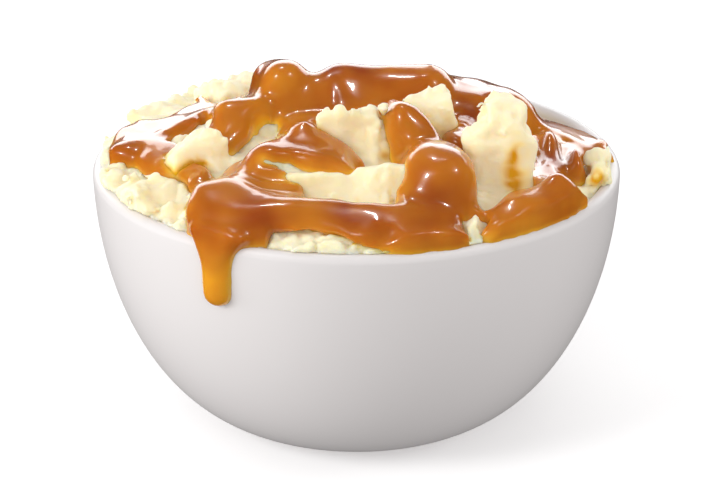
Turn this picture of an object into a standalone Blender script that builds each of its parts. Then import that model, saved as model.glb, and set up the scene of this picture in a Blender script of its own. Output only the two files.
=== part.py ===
"""A small white bowl heaped with rough mashed potato, with thick brown gravy ladled over it.

Built in metres, +Z up, with the origin under the middle of the bowl's foot.
The driving sizes below are in millimetres, and heights of the food are above the rim.
"""

import math

import bmesh
import bpy
import numpy as np

MM = 0.001

# Bowl
RIM_RADIUS = 65.0
RIM_HEIGHT = 65.5
FOOT_RADIUS = 25.0
WALL = 4.0
FLOOR = 5.0
FOOT_TURN = 0.35
BOWL_SIDES = 48
WALL_STEPS = 8
LIP_STEPS = 3

# Food
GAP = 0.3
CROWN = 9.0
EDGE_LEVEL = 0.5
LOW_SIDE_DROP = 5.0
LOW_SIDE = math.radians(40)
MASH_RADIUS = 63.5
HEAP_SLOPE = 0.85
BLEND = 2.0
EDGE_BLEND = 1.5
JOIN_BLEND = 2.0
POUR_BLEND = 3.5
POUR_DEPTH = 3.0
POUR_SHOULDER = 4.0
POUR_RADIUS = 62.7
POUR_FLOOR = 9.0
BARE_MARGIN = 0.6
BARE_SHARE = 0.6
NOWHERE = -99.0
FOOD_TOP = 32.0

# Grid of the food's surface
SECTORS = 6
RING_COUNT = 20
UNDERSIDE_STEP = 12
FALL_STEPS = 90
FALL_SHARE = 0.8
FALL_LIMIT = 1.5
RISE_LIMIT = 0.5
LIP_SEARCH = 14.0
LIP_SEARCH_STEPS = 56
LIP_ROUNDS = 3
EDGE_STRIDE = 0.4
LEAST_EDGE = 0.6
EASE = 0.35
OUTLINE_ROUNDS = 8
OUTLINE_SHIFT = 1.5
LEAST_REACH = 0.2
TOOTH = 1.5
TOOTH_ROUNDS = 3
UNDER_RISE = 0.9
SLOPE_STEP = 0.2
LEAST_SLOPE = 0.5
UNFOLD_ROUNDS = 12
LEAST_PLAN_AREA = 0.8

# Each lump: centre x, y, height; half sizes; turn, lean and roll in degrees; corner radius
LUMPS = {
    "ridge_left": (-18.8, 11, 11, 3.4, 7, 8, 10, 15, 0, 3.2),
    "ridge_mid": (-4.2, 12.5, 7.5, 3.2, 8, 8, 0, 30, 0, 3),
    "ridge_right": (11.5, 12.5, 7, 10, 8, 8.5, -5, 30, -8, 3.5),
    "curtain": (-12, 8, 4, 9, 8, 8, 0, 35, 0, 4),
    "right_shoulder": (31, 16, 3, 9, 9, 7.5, 15, 0, 8, 4),
    "back_left": (-31, 32, 1.5, 9, 8, 7.5, 30, 0, 0, 3),
    "left_back": (-49.5, 24, -1.5, 8, 9, 6, 40, 0, 0, 3),
    "left_edge": (-58, -7, -2.5, 4.5, 12, 5, 4, 0, 0, 3),
    "front_left": (-50, -31, -1, 9, 8, 5.5, 35, 0, 0, 3),
    "chunk_a": (-38, -18.5, 5.2, 7, 6.5, 6.5, 20, 10, -22, 1.8),
    "ledge_a": (-27, -22, 3.4, 8, 4, 4, -4, 10, 8, 2),
    "stream_bed": (-29.5, 0, 3.5, 6.5, 9, 7.5, 15, 42, 0, 4),
    "chunk_b": (-21.5, -3, 0.5, 5, 8.5, 7.5, 0, 48, 0, 2),
    "chunk_d": (-1.2, -17, 9.3, 8, 5, 8.5, -6, 8, 0, 1.8),
    "chunk_e": (10.5, -15, 9, 5.5, 6, 6.5, 0, 15, 35, 2.5),
    "chunk_f": (17.8, -3, 9.4, 6.5, 5.5, 8, 10, 5, -14, 1.6),
    "chunk_h": (34.3, -25.5, 5, 8, 6, 10, 4, 14, 0, 2.5),
    "chunk_h_neck": (33.8, -22.5, 12.8, 6.4, 5.5, 6.4, 4, 14, 45, 1.6),
    "chunk_h_top": (35, -20.5, 18, 3.5, 4.2, 5.6, 4, 14, 0, 1.6),
    "slab_n": (-2, -37, 5.2, 15, 5, 4.6, 0, 25, -2, 2),
    "slab_n_right": (6, -37, 5, 7, 4.5, 5.6, -4, 20, 0, 1.6),
    "mound_o": (-15, -30, 4, 10, 4.5, 6, -12, 10, 14, 3.5),
    "mound_o2": (-11.5, -19.5, 6.8, 6.5, 3, 4.5, -20, 10, 32, 2),
    "mound_l": (19.5, -36, 4, 6, 8, 9, 0, 10, 0, 5),
    "front_band": (-10, -48.5, -1, 22, 6, 4.6, -4, 15, 4, 4),
    "lobe_left": (-33, -40, 0, 7, 6.5, 6, 25, 14, 0, 4),
    "mound_k": (41.5, -38, -0.8, 8.5, 5.5, 4.5, 40, 0, 0, 4),
    "edge_j": (60, -13, -1, 3.2, 8, 5, 10, 0, 0, 2),
    "crumb_front": (-7, -57.5, -2.6, 13.5, 4, 3.8, -3, 0, 5, 1.5),
    "crumb_q": (27, -53, 0.6, 1.3, 4, 4.2, 0, 0, 0, 1.2),
    "back_mid": (-8, 36, 1, 8, 7, 6.5, 20, -15, 0, 3),
    "back_right": (17, 38, -1, 9, 6, 6, -20, -15, 0, 3),
    "back_rim": (-24, 47, -2, 8, 6, 5, 35, 0, 0, 3),
    "back_low": (3, 52, -4, 9, 6, 5, -5, 0, 0, 3),
}

# Tall lumps that stand out of the gravy, and low ones that it doesn't reach
STANDING = (
    "chunk_a", "ledge_a", "chunk_b", "chunk_d", "chunk_f", "chunk_h", "chunk_h_neck", "chunk_h_top",
    "slab_n", "slab_n_right",
)
CLEAR = (
    "front_left", "edge_j", "crumb_front", "crumb_q", "back_left", "left_back",
    "back_mid", "back_right", "back_rim",
)

# Where the ladle went: each pour is a run of (x, y, half width)
POURS = {
    "crown": [(-16, 14, 8), (-5, 17, 9), (10, 15, 11), (18, 10, 8)],
    "curtain": [(-13, 7, 10), (-11, -1, 10), (-13, -9, 6), (-13, -14, 4.5)],
    "crown_right": [(5, 6, 10), (6, -2, 6)],
    "shoulder": [(19, 10, 8), (29, 14, 9), (36, 14, 7)],
    "valley": [(28, 6, 6), (27, -5, 4.5), (26, -13, 4)],
    "left_arc": [(-22, 12, 7), (-33, 16.5, 9.5), (-44, 15.5, 10.5), (-52, 2, 8.5), (-57, -9, 5)],
    "stream": [(-24, 8, 7), (-29, 0, 7), (-31.5, -8, 6), (-33, -13, 4.5)],
    "patch_a": [(-50, -5, 3.5), (-47, -14, 5), (-44, -23, 5), (-39, -27.5, 4.5)],
    "tongue_e": [(9, -8, 2.5), (11, -14, 4), (13, -20, 5.5), (16, -26, 6)],
    "ridge_o": [(-27, -28, 4), (-20, -25, 5.5), (-12, -26, 6), (-4, -31, 5), (-1, -35, 3)],
    "ridge_o2": [(-13, -18, 3.5), (-8, -21, 3.5), (-3, -26, 3)],
    "fold_down": [(-28, -35, 6), (-21, -38, 5.5), (-16, -41, 4.5)],
    "blob": [(-34, -38, 6), (-33, -46, 7), (-32, -52, 7.5)],
    "band": [(-30, -49, 8), (-20, -52, 8), (-8, -53.5, 7), (6, -54.5, 7), (16, -54, 9)],
    "mound": [(18, -28, 6), (20, -35, 8.5), (18.5, -46, 9.5), (17.5, -55, 9)],
    "right_lobe": [(33, -51, 6.5), (40, -45, 6.5), (46, -38, 5.2), (49.5, -33, 5)],
    "right_sheet": [(42, 20, 7), (50, 14, 8), (57, 6, 7), (58, -4, 4)],
    "finger_left": [(47.5, 2, 3.6), (48, -8, 3), (48, -14, 2.6)],
    "gap": [(43, -2, 3.5), (44, -12, 4.5), (45.5, -21, 5), (46, -29, 4.5)],
    "finger_right": [(54, -4, 4), (54, -11, 3.6), (53.5, -17, 3)],
    "back_run": [(-3, 20, 7), (4, 31, 6), (5, 42, 7), (9, 50, 6)],
    "back_sheet": [(28, 22, 7), (31, 33, 7), (26, 43, 6)],
}

# The run over the rim
DRIP_ANGLE = math.radians(-119.6)
DRIP_TOP_HALF_WIDTH = 8.5
DRIP_HALF_WIDTH = 3.5
DRIP_LENGTH = 15.5
DRIP_DEPTH = 3.0
DRIP_FLARE = 3.4
DRIP_START = -5.0
DRIP_INNER_RADIUS = 54.0
DRIP_TIP = 0.35
DRIP_CLEARANCE = 1.2
DRIP_STATIONS = 14
DRIP_SIDES = 8
DRIP_UNDER_SIDES = 4

# Colour and roughness of each material
FINISHES = {
    "porcelain": ((0.86, 0.85, 0.84), 0.12),
    "mashed_potato": ((0.93, 0.84, 0.60), 0.60),
    "gravy": ((0.42, 0.14, 0.025), 0.12),
}

# Slow swells and small ripples that bend every lump: amplitude, wavelength, number of waves
WAVES = ((1.3, 17.0, 3), (0.7, 8.0, 5))
WAVE_SEED = 4


def wave_table():
    """Direction, push and phase of each swell."""
    rng = np.random.default_rng(WAVE_SEED)
    table = []
    for amplitude, length, count in WAVES:
        for _ in range(count):
            direction = rng.normal(size=3)
            direction *= 2 * math.pi / length / np.linalg.norm(direction)
            push = rng.normal(size=3)
            push *= amplitude * math.sqrt(2 / count) / np.linalg.norm(push)
            table.append((direction, push, rng.uniform(0, 2 * math.pi)))
    return table


SWELLS = wave_table()


def bent(points):
    """The points moved by the swells, so that straight lumps come out uneven."""
    moved = points.copy()
    for direction, push, phase in SWELLS:
        moved += np.sin(points @ direction + phase)[..., None] * push
    return moved


def blended(a, b, width):
    """The smaller of two distances, with a fillet of about this width."""
    share = np.clip(0.5 + 0.5 * (b - a) / width, 0, 1)
    return b + (a - b) * share - width * share * (1 - share)


def cut(a, b, width):
    """The larger of two distances, with the same fillet."""
    return -blended(-a, -b, width)


def turned(turn, lean, roll):
    """Rotation by a turn about Z, a lean away from the front and a roll to the side."""
    a, b, c = (math.radians(value) for value in (turn, -lean, roll))
    about_z = np.array([[math.cos(a), -math.sin(a), 0], [math.sin(a), math.cos(a), 0], [0, 0, 1]])
    about_x = np.array([[1, 0, 0], [0, math.cos(b), -math.sin(b)], [0, math.sin(b), math.cos(b)]])
    about_y = np.array([[math.cos(c), 0, math.sin(c)], [0, 1, 0], [-math.sin(c), 0, math.cos(c)]])
    return about_z @ about_x @ about_y


def lump_distance(points, lump):
    """Distance to a block with rounded corners."""
    x, y, height, half_x, half_y, half_z, turn, lean, roll, corner = lump
    local = (points - np.array([x, y, RIM_HEIGHT + height])) @ turned(turn, lean, roll)
    local = np.abs(local) - np.array([half_x, half_y, half_z]) + corner
    outside = np.sqrt((np.maximum(local, 0) ** 2).sum(-1))
    return outside + np.minimum(local.max(-1), 0) - corner


def heap_distance(points):
    """Distance to the broad dome under the lumps, which is lower at the back right."""
    radius = np.hypot(points[..., 0], points[..., 1])
    angle = np.arctan2(points[..., 1], points[..., 0])
    edge = EDGE_LEVEL - LOW_SIDE_DROP * np.maximum(0, np.cos(angle - LOW_SIDE))
    inward = 1 - np.clip(radius / MASH_RADIUS, 0, 1) ** 2
    return (points[..., 2] - RIM_HEIGHT - edge - (CROWN - edge) * inward) * HEAP_SLOPE


def mash_distance(points, swollen, blend, lumps=LUMPS):
    """Distance to the heap: the dome with every lump blended on, cut round near the bowl."""
    distance = heap_distance(swollen)
    for lump in lumps.values():
        distance = blended(distance, lump_distance(swollen, lump), blend)
    radius = np.hypot(points[..., 0], points[..., 1])
    return cut(distance, radius - MASH_RADIUS, EDGE_BLEND)


def bowl_distance(points):
    """Distance to the outside of the bowl, taken as a solid."""
    radius = np.hypot(points[..., 0], points[..., 1])
    down = RIM_HEIGHT - points[..., 2]
    across = np.maximum(radius - FOOT_RADIUS, 0) / (RIM_RADIUS - FOOT_RADIUS)
    wall = (np.hypot(across, np.maximum(down, 0) / RIM_HEIGHT) - 1) * (RIM_RADIUS - FOOT_RADIUS)
    lip = np.hypot(radius - RIM_RADIUS + WALL / 2, down - WALL / 2) - WALL / 2
    return np.where(down < WALL / 2, lip, wall)


def run_reach(x, y, run):
    """How far inside the edge of one pour a place lies, in plan."""
    best = np.full(x.shape, NOWHERE)
    for (x0, y0, half0), (x1, y1, half1) in zip(run[:-1], run[1:]):
        along_x = x1 - x0
        along_y = y1 - y0
        share = ((x - x0) * along_x + (y - y0) * along_y) / (along_x**2 + along_y**2)
        share = np.clip(share, 0, 1)
        off = np.hypot(x - x0 - along_x * share, y - y0 - along_y * share)
        best = np.maximum(best, half0 + (half1 - half0) * share - off)
    return best


def pour_reach(swollen):
    """How far inside the gravy's edge a place lies: the pours, less the lumps that stand clear."""
    x = swollen[..., 0]
    y = swollen[..., 1]
    best = np.full(x.shape, NOWHERE)
    for run in POURS.values():
        best = cut(best, run_reach(x, y, run), JOIN_BLEND)
    best = np.minimum(best, POUR_RADIUS - np.hypot(x, y))
    best = np.minimum(best, swollen[..., 2] - RIM_HEIGHT + POUR_FLOOR)
    for name in STANDING + CLEAR:
        best = np.minimum(best, BARE_SHARE * lump_distance(swollen, LUMPS[name]) - BARE_MARGIN)
    return best


def drip_half_width(down):
    """Half the run's width at a depth under the rim."""
    flare = np.exp(-np.maximum(down + 2, 0) / DRIP_FLARE)
    return DRIP_HALF_WIDTH + (DRIP_TOP_HALF_WIDTH - DRIP_HALF_WIDTH) * flare


def drip_reach(points):
    """The same measure for the run over the rim."""
    across = points[..., 1] * math.cos(DRIP_ANGLE) - points[..., 0] * math.sin(DRIP_ANGLE)
    along = points[..., 0] * math.cos(DRIP_ANGLE) + points[..., 1] * math.sin(DRIP_ANGLE)
    down = RIM_HEIGHT - points[..., 2]
    half = drip_half_width(down)
    below = np.maximum(down - DRIP_LENGTH + half, 0)
    return np.where(along > DRIP_INNER_RADIUS, half - np.hypot(across, below), NOWHERE)


def pour_depth(reach):
    """Gravy thickness, rounded at its edge."""
    share = np.clip(reach / POUR_SHOULDER, 0, 1)
    return np.where(reach < 0, reach, POUR_DEPTH * np.sqrt(1 - (1 - share) ** 2))


def gravy_distance(points):
    """Distance to the gravy's top: the mash and bowl with creases filled, raised by its depth."""
    swollen = bent(points)
    soft = mash_distance(points, swollen, POUR_BLEND)
    ground = blended(soft, bowl_distance(points), EDGE_BLEND)
    reach = cut(pour_reach(swollen), drip_reach(points), JOIN_BLEND)
    return ground - pour_depth(reach)


def top_of(distance, x, y):
    """Height of a surface over places in plan, found by falling on to it from above."""
    height = np.full(x.shape, RIM_HEIGHT + FOOD_TOP)
    for _ in range(FALL_STEPS):
        step = distance(np.stack([x, y, height], -1))
        height -= np.clip(step * FALL_SHARE, -RISE_LIMIT, FALL_LIMIT)
    return height


def mash_top(x, y):
    return top_of(lambda points: mash_distance(points, bent(points), BLEND), x, y)


def gravy_top(x, y):
    return top_of(gravy_distance, x, y)


def lip_path(length, gap):
    """Radius and height that far down the bowl's inner side from the top of its lip."""
    lip_radius = WALL / 2 + gap
    turn = np.minimum(length / lip_radius, math.pi / 2)
    down = np.maximum(length - lip_radius * math.pi / 2, 0)
    radius = RIM_RADIUS - WALL / 2 - lip_radius * np.sin(turn)
    height = RIM_HEIGHT - WALL / 2 + lip_radius * np.cos(turn) - down
    inner = inner_radius(height) - gap
    return np.where(down > 0, np.minimum(radius, inner), radius), height


def outer_radius(height):
    """Radius of the outside of the wall: a quarter ellipse from the foot to the rim."""
    down = np.clip((RIM_HEIGHT - height) / RIM_HEIGHT, 0, 1)
    return FOOT_RADIUS + (RIM_RADIUS - FOOT_RADIUS) * np.sqrt(1 - down**2)


def inner_profile():
    """Radius and height of each ring inside the wall, a quarter ellipse from the floor to the rim."""
    flat = FOOT_RADIUS - WALL
    turns = np.arange(WALL_STEPS + 1) * math.pi / 2 / WALL_STEPS
    radii = flat + (RIM_RADIUS - WALL - flat) * np.sin(turns)
    return radii, RIM_HEIGHT - (RIM_HEIGHT - FLOOR) * np.cos(turns)


def inner_radius(height):
    """Radius of the inside of the wall at a height, measured to the middle of its flat faces."""
    radii, heights = inner_profile()
    return np.interp(height, heights, radii) * math.cos(math.pi / BOWL_SIDES)


def bowl_profile():
    """Radius and height pairs round the bowl's wall, from under the foot over the lip to the floor."""
    points = []
    for step in range(WALL_STEPS + 1):
        turn = math.pi / 2 * step / (WALL_STEPS + FOOT_TURN)
        radius = FOOT_RADIUS + (RIM_RADIUS - FOOT_RADIUS) * math.sin(turn)
        points.append((radius, RIM_HEIGHT * (1 - math.cos(turn))))
    for step in range(LIP_STEPS * 2 + 1):
        turn = math.pi / 2 * step / LIP_STEPS
        radius = RIM_RADIUS - WALL / 2 + WALL / 2 * math.cos(turn)
        points.append((radius, RIM_HEIGHT - WALL / 2 + WALL / 2 * math.sin(turn)))
    radii, heights = inner_profile()
    return points + list(zip(radii[-2::-1], heights[-2::-1]))


def material(name, colour, roughness):
    made = bpy.data.materials.new(name)
    made.use_nodes = True
    shader = made.node_tree.nodes["Principled BSDF"]
    shader.inputs["Base Color"].default_value = (*colour, 1.0)
    shader.inputs["Roughness"].default_value = roughness
    return made


def add_object(name, points, faces, finish):
    """A mesh object from points in millimetres."""
    mesh = bpy.data.meshes.new(name)
    mesh.from_pydata([[value * MM for value in point] for point in points], [], faces)
    mesh.materials.append(finish)
    mesh.shade_smooth()
    made = bpy.data.objects.new(name, mesh)
    bpy.context.scene.collection.objects.link(made)
    return made


def ring_points(radius, height, count):
    """A level ring of points."""
    turns = np.arange(count) * 2 * math.pi / count
    return [(radius * math.cos(turn), radius * math.sin(turn), height) for turn in turns]


def make_bowl(finish):
    points = []
    faces = []
    rings = bowl_profile()
    for radius, height in rings:
        points += ring_points(radius, height, BOWL_SIDES)
    for ring in range(len(rings) - 1):
        for side in range(BOWL_SIDES):
            after = (side + 1) % BOWL_SIDES
            low = ring * BOWL_SIDES
            high = low + BOWL_SIDES
            faces.append((low + side, low + after, high + after, high + side))
    last = (len(rings) - 1) * BOWL_SIDES
    faces.append(tuple(reversed(range(BOWL_SIDES))))
    faces.append(tuple(last + side for side in range(BOWL_SIDES)))
    return add_object("bowl", points, faces, finish)


def stitched(first, second):
    """Triangles between two closed rings of point numbers that both start at the same angle."""
    faces = []
    a = 0
    b = 0
    while a < len(first) or b < len(second):
        here_a = first[a % len(first)]
        here_b = second[b % len(second)]
        if (a + 1) / len(first) <= (b + 1) / len(second) and a < len(first) or b == len(second):
            faces.append((here_a, first[(a + 1) % len(first)], here_b))
            a += 1
        else:
            faces.append((here_a, second[(b + 1) % len(second)], here_b))
            b += 1
    return faces


def edge_of_mash():
    """For each point of the outer ring, how far down from the lip's top the mash meets the bowl."""
    count = SECTORS * RING_COUNT
    turns = np.arange(count) * 2 * math.pi / count
    lengths = np.linspace(0, LIP_SEARCH, LIP_SEARCH_STEPS + 1)
    met = np.full(count, lengths[-1])
    for length in reversed(lengths):
        radius, height = lip_path(length, GAP)
        top = mash_top(radius * np.cos(turns), radius * np.sin(turns))
        met = np.where(top > height + LEAST_EDGE, length, met)
    for _ in range(LIP_ROUNDS):
        met = np.maximum(met, (np.roll(met, 1) + np.roll(met, -1) + 2 * met) / 4)
    return turns, met


def plan_grid(edge_radius):
    """Places in plan: the middle, then rings that grow by six places each, with their triangles."""
    places = [(0.0, 0.0)]
    rings = [[0]]
    for ring in range(1, RING_COUNT + 1):
        count = SECTORS * ring
        numbers = []
        for step in range(count):
            turn = step * 2 * math.pi / count
            along = step / count * len(edge_radius)
            low = int(along)
            part = along - low
            near = edge_radius[low % len(edge_radius)]
            far = edge_radius[(low + 1) % len(edge_radius)]
            radius = (near + (far - near) * part) * ring / RING_COUNT
            numbers.append(len(places))
            places.append((radius * math.cos(turn), radius * math.sin(turn)))
        rings.append(numbers)
    faces = []
    for inner, outer in zip(rings[:-1], rings[1:]):
        faces += [(a, b, c) for a, b, c in stitched(outer, inner) if len({a, b, c}) == 3]
    return np.array(places), np.array(faces)


def neighbours_of(count, faces):
    """For each place, the places joined to it."""
    joined = [set() for _ in range(count)]
    for face in faces:
        for number in face:
            joined[number].update(int(other) for other in face)
    return [sorted(others - {number}) for number, others in enumerate(joined)]


def reach_in_plan(places, heights):
    points = np.column_stack([places, heights])
    return cut(pour_reach(bent(points)), drip_reach(points), JOIN_BLEND)


def filled_necks(chosen, faces, count):
    """The gravy's triangles, with more added wherever two of them would meet at a corner alone."""
    around = [[] for _ in range(count)]
    for index, face in enumerate(faces):
        for number in face:
            around[number].append(index)
    changed = True
    while changed:
        changed = False
        for number in range(count):
            own = [index for index in around[number] if chosen[index]]
            if not own or len(own) == len(around[number]):
                continue
            groups = []
            for index in own:
                corners = set(faces[index]) - {number}
                touching = [group for group in groups if group & corners]
                merged = corners.union(*touching)
                groups = [group for group in groups if not group & corners] + [merged]
            if len(groups) > 1:
                for index in around[number]:
                    chosen[index] = True
                changed = True
    return chosen


def largest_group(chosen, faces):
    """Only the triangles of the largest connected pour."""
    group = {}
    for index in np.nonzero(chosen)[0]:
        for number in faces[index]:
            group.setdefault(int(number), int(number))

    def root(number):
        while group[number] != number:
            number = group[number]
        return number

    for index in np.nonzero(chosen)[0]:
        a, b, c = (root(int(number)) for number in faces[index])
        group[b] = a
        group[root(c)] = root(a)
    labels = np.array([root(int(face[0])) if chosen[i] else -1 for i, face in enumerate(faces)])
    names, sizes = np.unique(labels[labels >= 0], return_counts=True)
    return labels == names[sizes.argmax()]


def border_edges(faces):
    """Directed edges that only one triangle has."""
    seen = {}
    for a, b, c in faces:
        for edge in ((a, b), (b, c), (c, a)):
            seen[edge] = seen.get(edge, 0) + 1
    return [edge for edge in seen if (edge[1], edge[0]) not in seen]


def eased(heights, neighbours):
    """Heights drawn a little towards the mean of their neighbours, which takes the teeth off steep sides."""
    means = np.array([heights[near].mean() for near in neighbours])
    return heights + EASE * (means - heights)


def toothless(heights, pour):
    """Heights with each peak on the gravy's outline brought down near the gravy beside it."""
    beside = neighbours_of(len(heights), pour)
    outline = sorted({number for ends in border_edges([tuple(face) for face in pour]) for number in ends})
    for _ in range(TOOTH_ROUNDS):
        for number in outline:
            heights[number] = min(heights[number], heights[beside[number]].mean() + TOOTH)
    return heights


def reach_slope(here, level, reach):
    """How the reach changes along X and Y."""
    shifts = (np.array([SLOPE_STEP, 0.0]), np.array([0.0, SLOPE_STEP]))
    return np.stack([(reach_in_plan(here + shift, level) - reach) / SLOPE_STEP for shift in shifts], -1)


def unfolded(places, home, faces):
    """The moved grid, with each place that folded a triangle over drawn back towards home."""
    for _ in range(UNFOLD_ROUNDS):
        a, b, c = (places[faces[:, corner]] for corner in range(3))
        area = np.cross(b - a, c - a) / 2
        poor = np.unique(faces[area < LEAST_PLAN_AREA])
        places[poor] += EASE * (home[poor] - places[poor])
    return places


def fitted_plan(places, faces, heights, neighbours):
    """The grid with the gravy's outline drawn on to it, and which triangles the gravy covers."""
    centres = places[faces].mean(axis=1)
    covered = reach_in_plan(centres, mash_top(centres[:, 0], centres[:, 1])) > LEAST_REACH
    covered = filled_necks(covered, faces, len(places))
    covered = largest_group(covered, faces)
    edge = {number for ends in border_edges([tuple(face) for face in faces[covered]]) for number in ends}
    rim = set(range(len(places) - SECTORS * RING_COUNT, len(places)))
    movable = np.array(sorted(edge - rim))
    loose = sorted(set(range(len(places))) - edge - rim)
    home = places.copy()
    for _ in range(OUTLINE_ROUNDS):
        here = places[movable]
        reach = reach_in_plan(here, heights[movable])
        slope = reach_slope(here, heights[movable], reach)
        size = np.maximum((slope**2).sum(-1, keepdims=True), LEAST_SLOPE)
        away = here - 0.5 * slope / size * reach[:, None] - home[movable]
        length = np.linalg.norm(away, axis=1, keepdims=True)
        places[movable] = home[movable] + away * np.minimum(1, OUTLINE_SHIFT / np.maximum(length, 1e-9))
        for number in loose:
            centre = places[neighbours[number]].mean(axis=0)
            places[number] += EASE * (centre - places[number])
    return unfolded(places, home, faces), covered


def make_mash(places, faces, heights, turns, met, finish):
    points = [(x, y, z) for (x, y), z in zip(places, heights)]
    outer = list(range(len(points) - len(turns), len(points)))
    solid = [tuple(int(number) for number in face) for face in faces]
    below = outer
    radii, levels = inner_profile()
    lip_length = (WALL / 2 + GAP) * math.pi / 2
    first_level = lip_length + RIM_HEIGHT - WALL / 2 - levels[-2]
    for step, length in enumerate((0.0, lip_length / 2, lip_length, first_level)):
        radius, height = lip_path(np.maximum(met + EDGE_STRIDE * step, length), GAP)
        ring = []
        for turn, ring_radius, ring_height in zip(turns, radius, height):
            ring.append(len(points))
            points.append((ring_radius * math.cos(turn), ring_radius * math.sin(turn), ring_height))
        solid += [face[::-1] for face in stitched(below, ring)]
        below = ring
    for step in reversed(range(1, WALL_STEPS - 1)):
        count = UNDERSIDE_STEP * (step + 1)
        ring = list(range(len(points), len(points) + count))
        points += ring_points(float(inner_radius(levels[step])) - 1.5 * GAP, levels[step], count)
        solid += [face[::-1] for face in stitched(below, ring)]
        below = ring
    solid.append(tuple(reversed(below)))
    return add_object("mashed_potato", points, solid, finish)


def make_pour(places, faces, covered, heights, tops, finish):
    """The gravy on the mash: its top, its underside and the rounded edge between them."""
    used = np.unique(faces[covered])
    number_of = {int(old): new for new, old in enumerate(used)}
    x, y = places[used].T
    lifted = top_of(lambda points: mash_distance(points, bent(points), BLEND) - GAP, x, y)
    under = heights[used] + GAP
    under += np.clip(lifted - under, 0, UNDER_RISE)
    over = np.maximum(tops[used], under + LEAST_EDGE)
    top = [tuple(number_of[int(number)] for number in face) for face in faces[covered]]
    count = len(used)
    solid = top + [tuple(number + count for number in face[::-1]) for face in top]
    for a, b in border_edges(top):
        solid.append((b, a, a + count, b + count))
    points = list(zip(x, y, over)) + list(zip(x, y, under))
    return add_object("gravy", points, solid, finish)


def drip_station(length, across, depth):
    """A point of the run: a way along from the lip's top, a way across, and a depth of gravy."""
    lip_radius = WALL / 2 + GAP
    turn = min(max(length / lip_radius, 0.0), math.pi / 2)
    down = max(length - lip_radius * math.pi / 2, 0.0)
    radius = RIM_RADIUS - WALL / 2 + lip_radius * math.sin(turn) + min(length, 0.0)
    height = RIM_HEIGHT - WALL / 2 + lip_radius * math.cos(turn) - down
    if down > 0:
        radius = float(outer_radius(height)) + GAP
    radius += depth * math.sin(turn)
    height += depth * math.cos(turn)
    angle = DRIP_ANGLE + across / (RIM_RADIUS + GAP)
    return np.array([radius * math.cos(angle), radius * math.sin(angle), height])


def drip_lift(length, half):
    """How far a station of the run is raised to clear the mash under it."""
    lift = 0.0
    for across in np.linspace(-half, half, DRIP_SIDES - 1):
        foot = drip_station(length, across, 0.0)
        if math.hypot(foot[0], foot[1]) < RIM_RADIUS - WALL / 4:
            ground = float(mash_top(foot[:1], foot[1:2])[0])
            lift = max(lift, ground + DRIP_CLEARANCE - foot[2])
    return lift


def make_drip(finish):
    """The run over the rim, as a loft of rounded sections that closes at its tip."""
    points = []
    full = DRIP_LENGTH + WALL / 2
    stride = (full - DRIP_TIP - DRIP_START) / (DRIP_STATIONS - 1)
    lift = 0.0
    for station in range(DRIP_STATIONS):
        length = DRIP_START + stride * station
        half = float(drip_half_width(length - WALL / 2))
        left = full - length
        rounding = math.sqrt(max(0.0, 1 - max(0.0, 1 - left / half) ** 2))
        half *= rounding
        depth = DRIP_DEPTH * rounding
        lift = max(drip_lift(length, half), lift - stride, 0.0)
        for side in range(DRIP_SIDES + 1):
            turn = math.pi * side / DRIP_SIDES
            points.append(drip_station(length, half * math.cos(turn), depth * math.sin(turn)))
            points[-1][2] += lift
        for side in range(1, DRIP_UNDER_SIDES):
            across = half * (2 * side / DRIP_UNDER_SIDES - 1)
            points.append(drip_station(length, across, 0.0))
            points[-1][2] += lift
    row = DRIP_SIDES + DRIP_UNDER_SIDES
    faces = []
    for station in range(DRIP_STATIONS - 1):
        for side in range(row):
            here = station * row
            after = (side + 1) % row
            faces.append((here + side, here + after, here + row + after))
            faces.append((here + side, here + row + after, here + row + side))
    faces.append(tuple(reversed(range(row))))
    faces.append(tuple(range(len(points) - row, len(points))))
    made = add_object("drip_part", points, faces, finish)
    fix = bmesh.new()
    fix.from_mesh(made.data)
    bmesh.ops.recalc_face_normals(fix, faces=fix.faces)
    fix.to_mesh(made.data)
    fix.free()
    return made


def main():
    for old in list(bpy.data.objects):
        bpy.data.objects.remove(old)
    porcelain, potato, sauce = (material(name, *finish) for name, finish in FINISHES.items())
    make_bowl(porcelain)
    turns, met = edge_of_mash()
    edge_radius, _ = lip_path(met, GAP)
    places, faces = plan_grid(edge_radius)
    heights = mash_top(places[:, 0], places[:, 1])
    neighbours = neighbours_of(len(places), faces)
    places, covered = fitted_plan(places, faces, heights, neighbours)
    heights = toothless(eased(mash_top(places[:, 0], places[:, 1]), neighbours), faces[covered])
    make_mash(places, faces, heights, turns, met, potato)
    over = toothless(eased(gravy_top(places[:, 0], places[:, 1]), neighbours), faces[covered])
    pour = make_pour(places, faces, covered, heights, over, sauce)
    drip = make_drip(sauce)
    drip.hide_render = True
    drip.display_type = "WIRE"
    joined = pour.modifiers.new("drip", "BOOLEAN")
    joined.operation = "UNION"
    joined.object = drip


main()
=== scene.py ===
"""Looks of the mashed potato side: a white bowl of rough mash under thick ladled gravy.

The food is shaped again from the same lumps and pours as its solids, on a fine grid.
Sizes are in millimetres unless a name says otherwise, and heights of food are above the rim.
"""
import math

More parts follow.
